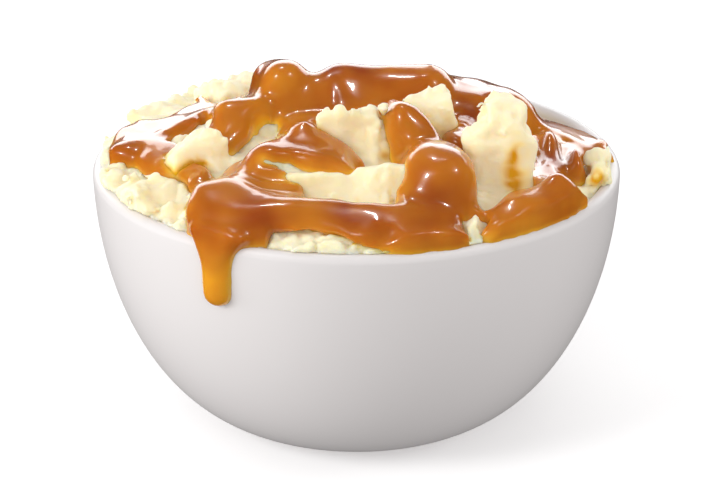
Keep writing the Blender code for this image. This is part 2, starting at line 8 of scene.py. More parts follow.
import bpy
import numpy as np
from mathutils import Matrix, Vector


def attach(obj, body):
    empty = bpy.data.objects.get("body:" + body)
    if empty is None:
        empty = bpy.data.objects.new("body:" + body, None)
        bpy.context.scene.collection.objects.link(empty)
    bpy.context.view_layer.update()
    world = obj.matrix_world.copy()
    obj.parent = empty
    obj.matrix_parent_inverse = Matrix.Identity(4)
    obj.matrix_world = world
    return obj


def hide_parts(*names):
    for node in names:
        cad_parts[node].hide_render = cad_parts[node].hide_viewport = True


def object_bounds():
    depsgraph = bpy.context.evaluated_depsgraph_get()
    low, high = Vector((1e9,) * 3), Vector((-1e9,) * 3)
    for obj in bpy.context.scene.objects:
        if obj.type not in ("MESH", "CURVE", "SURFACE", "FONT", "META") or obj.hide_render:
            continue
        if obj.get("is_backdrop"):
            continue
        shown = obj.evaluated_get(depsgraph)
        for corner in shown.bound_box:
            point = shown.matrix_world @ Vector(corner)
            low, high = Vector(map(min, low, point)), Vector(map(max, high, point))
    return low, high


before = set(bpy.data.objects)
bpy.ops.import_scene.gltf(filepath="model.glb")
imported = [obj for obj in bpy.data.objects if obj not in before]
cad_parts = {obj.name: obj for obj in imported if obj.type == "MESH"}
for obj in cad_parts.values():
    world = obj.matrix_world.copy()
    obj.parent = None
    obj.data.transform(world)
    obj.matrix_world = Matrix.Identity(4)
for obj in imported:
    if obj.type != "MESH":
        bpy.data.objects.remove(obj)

CAD_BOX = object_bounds()
MM = 0.001

# Bowl
RIM_RADIUS = 65.0
RIM_HEIGHT = 65.5
FOOT_RADIUS = 25.0
WALL = 4.0
FLOOR = 5.0

# Food
CROWN = 9.0
EDGE_LEVEL = 0.5
LOW_SIDE_DROP = 5.0
LOW_SIDE = math.radians(40)
MASH_RADIUS = 63.5
HEAP_SLOPE = 0.85
BLEND = 2.0
EDGE_BLEND = 1.5
JOIN_BLEND = 2.0
POUR_BLEND = 3.5
POUR_DEPTH = 3.0
POUR_SHOULDER = 4.0
POUR_FLOOR = 9.0
BARE_MARGIN = 0.6
BARE_SHARE = 0.6
NOWHERE = -99.0

# Each lump: centre x, y, height; half sizes; turn, lean and roll in degrees; corner radius
LUMPS = {
    "ridge_left": (-18.8, 11, 11, 3.4, 7, 8, 10, 15, 0, 3.2),
    "ridge_mid": (-4.2, 12.5, 7.5, 3.2, 8, 8, 0, 30, 0, 3),
    "ridge_right": (11.5, 12.5, 7, 10, 8, 8.5, -5, 30, -8, 3.5),
    "curtain": (-12, 8, 4, 9, 8, 8, 0, 35, 0, 4),
    "right_shoulder": (31, 16, 3, 9, 9, 7.5, 15, 0, 8, 4),
    "back_left": (-31, 32, 1.5, 9, 8, 7.5, 30, 0, 0, 3),
    "left_back": (-49.5, 24, -1.5, 8, 9, 6, 40, 0, 0, 3),
    "left_edge": (-58, -7, -2.5, 4.5, 12, 5, 4, 0, 0, 3),
    "front_left": (-50, -31, -1, 9, 8, 5.5, 35, 0, 0, 3),
    "chunk_a": (-38, -18.5, 5.2, 7, 6.5, 6.5, 20, 10, -22, 1.8),
    "ledge_a": (-27, -22, 3.4, 8, 4, 4, -4, 10, 8, 2),
    "stream_bed": (-29.5, 0, 3.5, 6.5, 9, 7.5, 15, 42, 0, 4),
    "chunk_b": (-21.5, -3, 0.5, 5, 8.5, 7.5, 0, 48, 0, 2),
    "chunk_d": (-1.2, -17, 9.3, 8, 5, 8.5, -6, 8, 0, 1.8),
    "chunk_e": (10.5, -15, 9, 5.5, 6, 6.5, 0, 15, 35, 2.5),
    "chunk_f": (17.8, -3, 9.4, 6.5, 5.5, 8, 10, 5, -14, 1.6),
    "chunk_h": (34.3, -25.5, 5, 8, 6, 10, 4, 14, 0, 2.5),
    "chunk_h_neck": (33.8, -22.5, 12.8, 6.4, 5.5, 6.4, 4, 14, 45, 1.6),
    "chunk_h_top": (35, -20.5, 18, 3.5, 4.2, 5.6, 4, 14, 0, 1.6),
    "slab_n": (-2, -37, 5.2, 15, 5, 4.6, 0, 25, -2, 2),
    "slab_n_right": (6, -37, 5, 7, 4.5, 5.6, -4, 20, 0, 1.6),
    "mound_o": (-15, -30, 4, 10, 4.5, 6, -12, 10, 14, 3.5),
    "mound_o2": (-11.5, -19.5, 6.8, 6.5, 3, 4.5, -20, 10, 32, 2),
    "mound_l": (19.5, -36, 4, 6, 8, 9, 0, 10, 0, 5),
    "front_band": (-10, -48.5, -1, 22, 6, 4.6, -4, 15, 4, 4),
    "lobe_left": (-33, -40, 0, 7, 6.5, 6, 25, 14, 0, 4),
    "mound_k": (41.5, -38, -0.8, 8.5, 5.5, 4.5, 40, 0, 0, 4),
    "edge_j": (60, -13, -1, 3.2, 8, 5, 10, 0, 0, 2),
    "crumb_front": (-7, -57.5, -2.6, 13.5, 4, 3.8, -3, 0, 5, 1.5),
    "crumb_q": (27, -53, 0.6, 1.3, 4, 4.2, 0, 0, 0, 1.2),
    "back_mid": (-8, 36, 1, 8, 7, 6.5, 20, -15, 0, 3),
    "back_right": (17, 38, -1, 9, 6, 6, -20, -15, 0, 3),
    "back_rim": (-24, 47, -2, 8, 6, 5, 35, 0, 0, 3),
    "back_low": (3, 52, -4, 9, 6, 5, -5, 0, 0, 3),
}

# Tall lumps that stand out of the gravy, and low ones that it doesn't reach
STANDING = (
    "chunk_a", "ledge_a", "chunk_b", "chunk_d", "chunk_f", "chunk_h", "chunk_h_neck", "chunk_h_top",
    "slab_n", "slab_n_right",
)
CLEAR = (
    "front_left", "edge_j", "crumb_front", "crumb_q", "back_left", "left_back",
    "back_mid", "back_right", "back_rim",
)

# Where the ladle went: each pour is a run of (x, y, half width)
POURS = {
    "crown": [(-16, 14, 8), (-5, 17, 9), (10, 15, 11), (18, 10, 8)],
    "curtain": [(-13, 7, 10), (-11, -1, 10), (-13, -9, 6), (-13, -14, 4.5)],
    "crown_right": [(5, 6, 10), (6, -2, 6)],
    "shoulder": [(19, 10, 8), (29, 14, 9), (36, 14, 7)],
    "valley": [(28, 6, 6), (27, -5, 4.5), (26, -13, 4)],
    "left_arc": [(-22, 12, 7), (-33, 16.5, 9.5), (-44, 15.5, 10.5), (-52, 2, 8.5), (-57, -9, 5)],
    "stream": [(-24, 8, 7), (-29, 0, 7), (-31.5, -8, 6), (-33, -13, 4.5)],
    "patch_a": [(-50, -5, 3.5), (-47, -14, 5), (-44, -23, 5), (-39, -27.5, 4.5)],
    "tongue_e": [(9, -8, 2.5), (11, -14, 4), (13, -20, 5.5), (16, -26, 6)],
    "ridge_o": [(-27, -28, 4), (-20, -25, 5.5), (-12, -26, 6), (-4, -31, 5), (-1, -35, 3)],
    "ridge_o2": [(-13, -18, 3.5), (-8, -21, 3.5), (-3, -26, 3)],
    "fold_down": [(-28, -35, 6), (-21, -38, 5.5), (-16, -41, 4.5)],
    "blob": [(-34, -38, 6), (-33, -46, 7), (-32, -52, 7.5)],
    "band": [(-30, -49, 8), (-20, -52, 8), (-8, -53.5, 7), (6, -54.5, 7), (16, -54, 9)],
    "mound": [(18, -28, 6), (20, -35, 8.5), (18.5, -46, 9.5), (17.5, -55, 9)],
    "right_lobe": [(33, -51, 6.5), (40, -45, 6.5), (46, -38, 5.2), (49.5, -33, 5)],
    "right_sheet": [(42, 20, 7), (50, 14, 8), (57, 6, 7), (58, -4, 4)],
    "finger_left": [(47.5, 2, 3.6), (48, -8, 3), (48, -14, 2.6)],
    "gap": [(43, -2, 3.5), (44, -12, 4.5), (45.5, -21, 5), (46, -29, 4.5)],
    "finger_right": [(54, -4, 4), (54, -11, 3.6), (53.5, -17, 3)],
    "back_run": [(-3, 20, 7), (4, 31, 6), (5, 42, 7), (9, 50, 6)],
    "back_sheet": [(28, 22, 7), (31, 33, 7), (26, 43, 6)],
}

# The run over the rim
DRIP_ANGLE = math.radians(-119.6)
DRIP_TOP_HALF_WIDTH = 8.5
DRIP_HALF_WIDTH = 3.5
DRIP_LENGTH = 15.5
DRIP_DEPTH = 3.0
DRIP_FLARE = 3.4
DRIP_INNER_RADIUS = 54.0

# Colour and roughness of each material
FINISHES = {
    "porcelain": ((0.86, 0.85, 0.84), 0.12),
    "mashed_potato": ((0.93, 0.84, 0.60), 0.60),
    "gravy": ((0.42, 0.14, 0.025), 0.12),
}

# Slow swells and small ripples that bend every lump: amplitude, wavelength, number of waves
WAVES = ((1.3, 17.0, 3), (0.7, 8.0, 5))
WAVE_SEED = 4


def wave_table():
    """Direction, push and phase of each swell."""
    rng = np.random.default_rng(WAVE_SEED)
    table = []
    for amplitude, length, count in WAVES:
        for _ in range(count):
            direction = rng.normal(size=3)
            direction *= 2 * math.pi / length / np.linalg.norm(direction)
            push = rng.normal(size=3)
            push *= amplitude * math.sqrt(2 / count) / np.linalg.norm(push)
            table.append((direction, push, rng.uniform(0, 2 * math.pi)))
    return table


SWELLS = wave_table()


def bent(points):
    """The points moved by the swells, so that straight lumps come out uneven."""
    moved = points.copy()
    for direction, push, phase in SWELLS:
        moved += np.sin(points @ direction + phase)[..., None] * push
    return moved


def blended(a, b, width):
    """The smaller of two distances, with a fillet of about this width."""
    share = np.clip(0.5 + 0.5 * (b - a) / width, 0, 1)
    return b + (a - b) * share - width * share * (1 - share)


def cut(a, b, width):
    """The larger of two distances, with the same fillet."""
    return -blended(-a, -b, width)


def turned(turn, lean, roll):
    """Rotation by a turn about Z, a lean away from the front and a roll to the side."""
    a, b, c = (math.radians(value) for value in (turn, -lean, roll))
    about_z = np.array([[math.cos(a), -math.sin(a), 0], [math.sin(a), math.cos(a), 0], [0, 0, 1]])
    about_x = np.array([[1, 0, 0], [0, math.cos(b), -math.sin(b)], [0, math.sin(b), math.cos(b)]])
    about_y = np.array([[math.cos(c), 0, math.sin(c)], [0, 1, 0], [-math.sin(c), 0, math.cos(c)]])
    return about_z @ about_x @ about_y


def lump_distance(points, lump):
    """Distance to a block with rounded corners."""
    x, y, height, half_x, half_y, half_z, turn, lean, roll, corner = lump
    local = (points - np.array([x, y, RIM_HEIGHT + height])) @ turned(turn, lean, roll)
    local = np.abs(local) - np.array([half_x, half_y, half_z]) + corner
    outside = np.sqrt((np.maximum(local, 0) ** 2).sum(-1))
    return outside + np.minimum(local.max(-1), 0) - corner


def heap_distance(points):
    """Distance to the broad dome under the lumps, which is lower at the back right."""
    radius = np.hypot(points[..., 0], points[..., 1])
    angle = np.arctan2(points[..., 1], points[..., 0])
    edge = EDGE_LEVEL - LOW_SIDE_DROP * np.maximum(0, np.cos(angle - LOW_SIDE))
    inward = 1 - np.clip(radius / MASH_RADIUS, 0, 1) ** 2
    return (points[..., 2] - RIM_HEIGHT - edge - (CROWN - edge) * inward) * HEAP_SLOPE


def mash_distance(points, swollen, blend, lumps=LUMPS):
    """Distance to the heap: the dome with every lump blended on, cut round near the bowl."""
    distance = heap_distance(swollen)
    for lump in lumps.values():
        distance = blended(distance, lump_distance(swollen, lump), blend)
    radius = np.hypot(points[..., 0], points[..., 1])
    return cut(distance, radius - MASH_RADIUS, EDGE_BLEND)


def bowl_distance(points):
    """Distance to the outside of the bowl, taken as a solid."""
    radius = np.hypot(points[..., 0], points[..., 1])
    down = RIM_HEIGHT - points[..., 2]
    across = np.maximum(radius - FOOT_RADIUS, 0) / (RIM_RADIUS - FOOT_RADIUS)
    wall = (np.hypot(across, np.maximum(down, 0) / RIM_HEIGHT) - 1) * (RIM_RADIUS - FOOT_RADIUS)
    lip = np.hypot(radius - RIM_RADIUS + WALL / 2, down - WALL / 2) - WALL / 2
    return np.where(down < WALL / 2, lip, wall)


def run_reach(x, y, run):
    """How far inside the edge of one pour a place lies, in plan."""
    best = np.full(x.shape, NOWHERE)
    for (x0, y0, half0), (x1, y1, half1) in zip(run[:-1], run[1:]):
        along_x = x1 - x0
        along_y = y1 - y0
        share = ((x - x0) * along_x + (y - y0) * along_y) / (along_x**2 + along_y**2)
        share = np.clip(share, 0, 1)
        off = np.hypot(x - x0 - along_x * share, y - y0 - along_y * share)
        best = np.maximum(best, half0 + (half1 - half0) * share - off)
    return best


def drip_half_width(down):
    """Half the run's width at a depth under the rim."""
    flare = np.exp(-np.maximum(down + 2, 0) / DRIP_FLARE)
    return DRIP_HALF_WIDTH + (DRIP_TOP_HALF_WIDTH - DRIP_HALF_WIDTH) * flare


def drip_reach(points):
    """The same measure for the run over the rim."""
    across = points[..., 1] * math.cos(DRIP_ANGLE) - points[..., 0] * math.sin(DRIP_ANGLE)
    along = points[..., 0] * math.cos(DRIP_ANGLE) + points[..., 1] * math.sin(DRIP_ANGLE)
    down = RIM_HEIGHT - points[..., 2]
    half = drip_half_width(down)
    below = np.maximum(down - DRIP_LENGTH + half, 0)
    return np.where(along > DRIP_INNER_RADIUS, half - np.hypot(across, below), NOWHERE)



def open_reach(swollen):
    """How far inside the edge of the pours a place lies, in plan."""
    x = swollen[..., 0]
    y = swollen[..., 1]
    best = np.full(x.shape, NOWHERE)
    for run in POURS.values():
        best = cut(best, run_reach(x, y, run), POOL_BLEND)
    return best


def pour_reach(points, swollen):
    """The same, less what lies beyond the rim or too low and the lumps that the gravy doesn't reach."""
    radius = np.hypot(points[..., 0], points[..., 1])
    best = np.minimum(open_reach(swollen), RIM_STEEPNESS * (GRAVY_RADIUS - radius))
    best = np.minimum(best, swollen[..., 2] - RIM_HEIGHT + POUR_FLOOR)
    for name in CLEAR:
        best = np.minimum(best, BARE_SHARE * lump_distance(swollen, LUMPS[name]) - BARE_MARGIN)
    return best


def pour_depth(reach):
    """Gravy thickness, rounded at its edge, with nothing beyond it."""
    share = np.clip(reach / POUR_SHOULDER, 0, 1)
    return np.where(reach < 0, 3 * reach, POUR_DEPTH * np.sqrt(1 - (1 - share) ** 2))


# Fine surfaces
MASH_STEP = 0.57
GRAVY_STEP = 0.62
COARSE_CELLS = 4
NEAR_BAND = 3.0
NOISE_CELLS = 24
MASH_GAP = 0.08
MASH_REACH_UP = 29.0
MASH_REACH_DOWN = 9.0
GRAVY_REACH_DOWN = 21.0
GRAVY_SUNK = 1.2
CALM_SWELLS = 3
CALM_SHARE = 0.5
CALM_BLEND = 5.0
POOL_BLEND = 4.5
RIM_STEEPNESS = 2.5
GRAVY_RADIUS = 63.8
UNDER_GRAVY = {name: lump for name, lump in LUMPS.items() if name not in STANDING + CLEAR}

# Lumps with a broken face, which is more even than a torn one
EVEN = ("chunk_h", "chunk_h_neck", "crumb_q")

# Where thin gravy has run down and soaked in: x, y, height above the rim and radius
STAINS = (
    (37.6, -31.0, 11.5, 4.0),
    (37.7, -31.5, 9.0, 4.6),
    (37.4, -32.5, 6.0, 4.4),
    (-37.0, -23.0, 7.0, 3.8),
    (-37.0, -26.5, 5.0, 3.0),
    (-5.0, -42.0, 4.3, 2.6),
    (0.0, -42.5, 3.4, 2.2),
    (8.9, -42.0, 2.8, 3.2),
    (6.3, -21.0, 7.7, 3.2),
    (22.1, -7.0, 8.0, 3.4),
    (57.9, -20.0, 2.0, 3.2),
)

# Hollows torn in the heap, given as the lumps are
HOLLOWS = {
    "gap": (43.2, -9, 1.5, 1.6, 6, 6, -4, 10, 0, 1.5),
}

# Swellings of the gravy, and the dip between two: x, y, half width, half length and rise
SWOLLEN_POURS = (
    (47.3, -6.0, 2.6, 6.0, 3.4),
    (53.4, -12.5, 2.4, 5.0, 3.0),
    (50.3, -9.0, 1.4, 7.0, -1.6),
    (43.8, -14.0, 1.8, 9.0, -1.8),
    (47.0, -34.5, 4.0, 4.0, 2.2),
    (51.0, -29.0, 2.5, 3.0, -1.2),
)

# Painted shade in the gap and other hollows of the gravy, partly the deeper brown of gravy that has run
# together thick there: x, y and radius
SHADE_AND_POOL_PLACES = (
    (17.0, -53.0, 7.5),
    (46.0, -16.0, 6.5),
    (1.0, 11.0, 5.0),
    (27.0, 1.0, 6.0),
    (-22.0, -52.5, 6.0),
    (-1.0, -54.0, 6.0),
    (-43.0, -20.0, 4.5),
    (-6.0, 9.0, 4.0),
)
LEAST_LOOSE = 400
MASH_PULLS = (0.3, -0.31)
GRAVY_PULLS = (0.5,) * 5 + (0.5, -0.52) * 4
FOOD_TOP = CAD_BOX[1][2] / MM - 0.1


def noise_table(seed):
    return np.random.default_rng(seed).uniform(-1, 1, (NOISE_CELLS,) * 3).astype(np.float32)


NOISE = noise_table(11)


def noise(points, size, shift=0.0):
    """Smooth noise between -1 and 1, with features of about this size."""
    place = points / size + shift
    cell = np.floor(place).astype(np.int64)
    part = place - cell
    part = part * part * part * (part * (part * 6 - 15) + 10)
    cell %= NOISE_CELLS
    after = (cell + 1) % NOISE_CELLS
    total = 0.0
    for side in range(8):
        picks = [(side >> axis) & 1 for axis in range(3)]
        weight = 1.0
        where = []
        for axis, pick in enumerate(picks):
            weight = weight * (part[..., axis] if pick else 1 - part[..., axis])
            where.append((after if pick else cell)[..., axis])
        total = total + weight * NOISE[tuple(where)]
    return total


def billow(points, size, shift=0.0):
    """Rounded bumps with creases between them, around zero."""
    return 2.6 * np.abs(noise(points, size, shift)) - 0.6


def mash_relief(points, swollen):
    """How far the torn surface stands out: dents all over, and crumbs on the chunks' tops and by the rim."""
    top = np.clip((heap_distance(swollen) - 2) / 6, 0, 1)
    rim = np.clip((np.hypot(points[..., 0], points[..., 1]) - 50) / 6, 0, 1)
    rough = np.clip(0.2 + 0.55 * top + 0.45 * rim + 0.5 * noise(points, 13.0, 3.3), 0.1, 1.1)
    for name in EVEN:
        rough = rough * np.clip(0.35 + 0.2 * lump_distance(swollen, LUMPS[name]), 0, 1)
    bare = np.clip(1 - pour_reach(points, swollen) / 1.5, 0.15, 1)
    crumbs = 0.95 * billow(points, 3.6, 5.1) + 0.4 * billow(points, 2.0, 8.4)
    grains = 0.24 * billow(points, 2.1, 12.7)
    return 0.45 * noise(points, 7.0, 1.7) + bare * (rough * crumbs + grains) - 0.25


def torn_mash_distance(points, swollen):
    distance = mash_distance(points, swollen, BLEND)
    covered = np.clip(open_reach(swollen) / 2, 0, 1)
    radius = np.hypot(points[..., 0], points[..., 1])
    distance = np.maximum(distance, radius - MASH_RADIUS + 1.4 * covered)
    for hollow in HOLLOWS.values():
        distance = cut(distance, -lump_distance(swollen, hollow), 1.5)
    return distance


def below_top(distance, points):
    """The same surface, rounded off where it would stand higher than the solids."""
    return cut(distance, points[..., 2] - FOOD_TOP, EDGE_BLEND)


def fine_mash_distance(points):
    swollen = bent(points)
    return below_top(torn_mash_distance(points, swollen) - mash_relief(points, swollen), points)


def calmed(points):
    """The points moved by the slow swells alone, as gravy levels out the small ones."""
    moved = points.copy()
    for direction, push, phase in SWELLS[:CALM_SWELLS]:
        moved += CALM_SHARE * np.sin(points @ direction + phase)[..., None] * push
    return moved


def gravy_distance(points):
    """The poured gravy: a level skin over the potato, rounded at its edges."""
    soft = mash_distance(points, calmed(points), CALM_BLEND, UNDER_GRAVY)
    ground = blended(soft, bowl_distance(points), EDGE_BLEND)
    reach = cut(pour_reach(points, bent(points)), drip_reach(points), JOIN_BLEND)
    return ground - pour_depth(reach)


def fine_gravy_distance(points):
    """The gravy with the faintest ripple and a few grains of potato under its skin."""
    ripple = 0.5 * noise(points, 16.0, 2.2) + 0.2 * noise(points, 8.0, 7.2) + 0.05 * noise(points, 3.6, 4.7)
    grains = 0.8 * np.clip(noise(points, 2.4, 6.1) - 0.55, 0, 1)
    for x, y, across, along, rise in SWOLLEN_POURS:
        off = ((points[..., 0] - x) / across) ** 2 + ((points[..., 1] - y) / along) ** 2
        ripple = ripple + rise * np.exp(-off)
    return below_top(gravy_distance(points) - ripple - grains, points)


def inside_bowl(points):
    """Distance to the space inside the bowl, from its floor up past its lip."""
    radius = np.hypot(points[..., 0], points[..., 1])
    height = points[..., 2]
    lip_middle = RIM_RADIUS - WALL / 2
    over = height - RIM_HEIGHT + WALL / 2
    wall = radius - smooth_inner_radius(height) + MASH_GAP
    lip = np.where(radius > lip_middle, -over, -np.hypot(radius - lip_middle, over)) + WALL / 2 + MASH_GAP
    beside = np.where(over > 0, lip, wall)
    return np.maximum(beside, FLOOR + MASH_GAP - height)


def smooth_inner_radius(height):
    flat = FOOT_RADIUS - WALL
    down = np.clip((RIM_HEIGHT - height) / (RIM_HEIGHT - FLOOR), 0, 1)
    return flat + (RIM_RADIUS - WALL - flat) * np.sqrt(1 - down**2)


class Grid:
    """A box of places in millimetres, from the heights and distances at which its planes lie."""

    def __init__(self, *planes):
        self.planes = [np.asarray(plane, float) for plane in planes]
        self.counts = tuple(len(plane) for plane in self.planes)

    def places(self, index):
        return np.stack([plane[part] for plane, part in zip(self.planes, index)], -1)

    def within(self, cells, part):
        """Places a part of the way across these cells."""
        low = self.places(cells)
        high = self.places([cell + 1 for cell in cells])
        return low + (high - low) * part


def level_planes(low, high, step):
    return np.linspace(low, high, int(math.ceil((high - low) / step)) + 1)


def upsampled(values, axis, picks):
    """Linear steps between the planes that were sampled along one axis."""
    along = np.interp(np.arange(picks[-1] + 1), picks, np.arange(len(picks)))
    low = np.minimum(along.astype(int), len(picks) - 2)
    shape = [1, 1, 1]
    shape[axis] = len(along)
    part = (along - low).astype(np.float32).reshape(shape)
    return np.take(values, low, axis) * (1 - part) + np.take(values, low + 1, axis) * part


def sampled(distance, grid):
    """A distance over a grid: everywhere at first coarsely, then exactly near the surface."""
    picks = [np.append(np.arange(0, count - 1, COARSE_CELLS), count - 1) for count in grid.counts]
    values = distance(grid.places(np.meshgrid(*picks, indexing="ij"))).astype(np.float32)
    for axis in range(3):
        values = upsampled(values, axis, picks[axis])
    near = np.nonzero(np.abs(values) < NEAR_BAND)
    chunk = 400000
    for start in range(0, len(near[0]), chunk):
        some = tuple(part[start:start + chunk] for part in near)
        values[some] = distance(grid.places(some))
    return values


def surface(values, grid):
    """Surface nets: one point in each cell that the surface crosses, one quad for each crossed edge."""
    inside = values < 0
    corners = [(i, j, k) for i in (0, 1) for j in (0, 1) for k in (0, 1)]
    shape = tuple(count - 1 for count in values.shape)

    def at(array, corner):
        return array[tuple(slice(c, c + n) for c, n in zip(corner, shape))]

    total = sum(at(inside, corner).astype(np.int8) for corner in corners)
    cells = np.nonzero((total > 0) & (total < 8))
    number = np.full(shape, -1, np.int64)
    number[cells] = np.arange(len(cells[0]))
    place = np.zeros((len(cells[0]), 3))
    found = np.zeros(len(cells[0]))
    for a in corners:
        for axis in range(3):
            if a[axis]:
                continue
            b = tuple(value + (1 if other == axis else 0) for other, value in enumerate(a))
            first = at(values, a)[cells].astype(float)
            second = at(values, b)[cells].astype(float)
            crossed = (first < 0) != (second < 0)
            share = np.where(crossed, first / np.where(crossed, first - second, 1), 0)
            for other in range(3):
                offset = share if other == axis else a[other]
                place[:, other] += np.where(crossed, offset, 0)
            found += crossed
    place /= found[:, None]
    points = grid.within(cells, place)
    quads = []
    for axis in range(3):
        one, two = (axis + 1) % 3, (axis + 2) % 3
        low = [slice(1, -1)] * 3
        low[axis] = slice(0, -1)
        high = list(low)
        high[axis] = slice(1, None)
        first = inside[tuple(low)]
        second = inside[tuple(high)]
        for flip, crossed in ((False, first & ~second), (True, ~first & second)):
            where = np.nonzero(crossed)
            where = [part + (0 if other == axis else 1) for other, part in enumerate(where)]
            ring = []
            for d1, d2 in ((0, 0), (1, 0), (1, 1), (0, 1)):
                cell = list(where)
                cell[one] = where[one] - 1 + d1
                cell[two] = where[two] - 1 + d2
                ring.append(number[tuple(cell)])
            quad = np.stack(ring, -1)
            quads.append(quad[:, ::-1] if flip else quad)
    return points, np.concatenate(quads)


def edges_of(quads):
    ends = np.concatenate([quads[:, [0, 1]], quads[:, [1, 2]], quads[:, [2, 3]], quads[:, [3, 0]]])
    return np.unique(np.sort(ends, axis=1), axis=0)


def relaxed(points, edges, pulls):
    """Points drawn towards their neighbours by each pull in turn, or pushed away where it is negative."""
    size = len(points)
    ends = np.concatenate([edges, edges[:, ::-1]])
    count = np.bincount(ends[:, 0], minlength=size)
    for pull in pulls:
        total = [np.bincount(ends[:, 0], points[ends[:, 1], axis], size) for axis in range(3)]
        points = points + pull * (np.stack(total, -1) / count[:, None] - points)
    return points


def main_bodies(points, quads):
    """The mesh without its smallest loose bits."""
    label = np.arange(len(points))
    while True:
        lowest = label[quads].min(axis=1)
        after = label.copy()
        for corner in range(4):
            np.minimum.at(after, quads[:, corner], lowest)
        after = after[after]
        if (after == label).all():
            break
        label = after
    size = np.bincount(label, minlength=len(points))
    kept = size[label] >= LEAST_LOOSE
    number = np.cumsum(kept) - 1
    return points[kept], number[quads[kept[quads[:, 0]]]]


def slope_of(distance, points, step=0.15):
    """The direction in which a distance grows."""
    slope = np.empty_like(points)
    for axis in range(3):
        shift = np.zeros(3)
        shift[axis] = step
        slope[:, axis] = distance(points + shift) - distance(points - shift)
    length = np.linalg.norm(slope, axis=1, keepdims=True)
    return slope / np.maximum(length, 1e-6)


def mesh_object(name, points, faces, attributes=None):
    """A smooth mesh object from points in millimetres, with float attributes on its points."""
    mesh = bpy.data.meshes.new(name)
    faces = np.asarray(faces, np.int32)
    used = np.ones(faces.shape, bool)
    used[:, 3] = faces[:, 3] != faces[:, 2]
    sizes = used.sum(axis=1)
    mesh.vertices.add(len(points))
    mesh.vertices.foreach_set("co", (np.asarray(points) * MM).astype(np.float32).ravel())
    mesh.loops.add(int(sizes.sum()))
    mesh.loops.foreach_set("vertex_index", faces[used])
    mesh.polygons.add(len(faces))
    mesh.polygons.foreach_set("loop_start", (np.cumsum(sizes) - sizes).astype(np.int32))
    mesh.update(calc_edges=True)
    for key, values in (attributes or {}).items():
        layer = mesh.attributes.new(key, "FLOAT", "POINT")
        layer.data.foreach_set("value", np.asarray(values, np.float32))
    mesh.shade_smooth()
    made = bpy.data.objects.new(name, mesh)
    bpy.context.scene.collection.objects.link(made)
    return made


def make_mash():
    """The potato's torn surface down past the rim, and its core, drawn in to a point on the bowl's floor."""
    reach = RIM_RADIUS + 1
    across = level_planes(-reach, reach, MASH_STEP)
    upright = level_planes(RIM_HEIGHT - MASH_REACH_DOWN, RIM_HEIGHT + MASH_REACH_UP, MASH_STEP)
    grid = Grid(across, across, upright)

    def distance(points):
        return np.maximum(inside_bowl(points), fine_mash_distance(points))

    points, quads = surface(sampled(distance, grid), grid)
    points, quads = main_bodies(points, quads)
    points = relaxed(points, edges_of(quads), MASH_PULLS)
    return closed_below(points, quads, FLOOR + 1)


def closed_below(points, quads, height):
    """The mesh with its open lower edge drawn in to one point in the middle."""
    ends = np.concatenate([quads[:, [0, 1]], quads[:, [1, 2]], quads[:, [2, 3]], quads[:, [3, 0]]])
    size = len(points)
    alone = ~np.isin(ends[:, 0] * size + ends[:, 1], ends[:, 1] * size + ends[:, 0])
    first, second = ends[alone].T
    middle = np.full(len(first), size)
    fan = np.stack([second, first, middle, middle], -1)
    return np.vstack([points, (0, 0, height)]), np.concatenate([quads, fan])


def make_gravy():
    """The poured gravy with its run over the rim, sunk a little into the potato under it."""
    reach = RIM_RADIUS + DRIP_DEPTH + 2
    across = level_planes(-reach, reach, GRAVY_STEP)
    upright = level_planes(RIM_HEIGHT - GRAVY_REACH_DOWN, RIM_HEIGHT + MASH_REACH_UP, GRAVY_STEP)
    grid = Grid(across, across, upright)

    def distance(points):
        swollen = bent(points)
        under = blended(torn_mash_distance(points, swollen), bowl_distance(points), 0.5)
        return np.maximum(fine_gravy_distance(points), -under - GRAVY_SUNK)

    points, quads = surface(sampled(distance, grid), grid)
    points, quads = main_bodies(points, quads)
    return relaxed(points, edges_of(quads), GRAVY_PULLS), quads


def soak_of(points):
    """How much gravy has soaked into a place on the potato."""
    away = gravy_distance(points)
    stain = np.clip(1 - away / 1.4, 0, 1) * np.clip(0.7 + 0.7 * noise(points, 7.0, 4.4), 0, 1)
    uneven = points + 1.2 * noise(points, 3.0, 9.1)[:, None]
    for x, y, height, radius in STAINS:
        off = np.linalg.norm(uneven - (x, y, RIM_HEIGHT + height), axis=1)
        stain = np.maximum(stain, np.clip(1.6 * (1 - off / radius), 0, 1))
    return stain


def depth_of(points):
    """Gravy between a place on its skin and the potato or bowl under it, less for the clear thin run."""
    swollen = bent(points)
    under = blended(torn_mash_distance(points, swollen), bowl_distance(points), 0.5)
    down = np.clip((RIM_HEIGHT + 1 - points[..., 2]) / 9, 0, 1)
    return np.clip(under, 0, 6) * (1 - 0.78 * down)


def shade_and_pool_of(points):
    """How dark the gravy is painted: painted shade in the gap and other hollows, partly the deeper brown of
    gravy that has run together thick.
    """
    dark = np.zeros(len(points))
    for x, y, radius in SHADE_AND_POOL_PLACES:
        off = ((points[:, 0] - x) ** 2 + (points[:, 1] - y) ** 2) / radius**2
        dark = np.maximum(dark, np.exp(-off))
    return dark * np.clip(0.8 + 0.5 * noise(points, 6.0, 8.8), 0.2, 1)


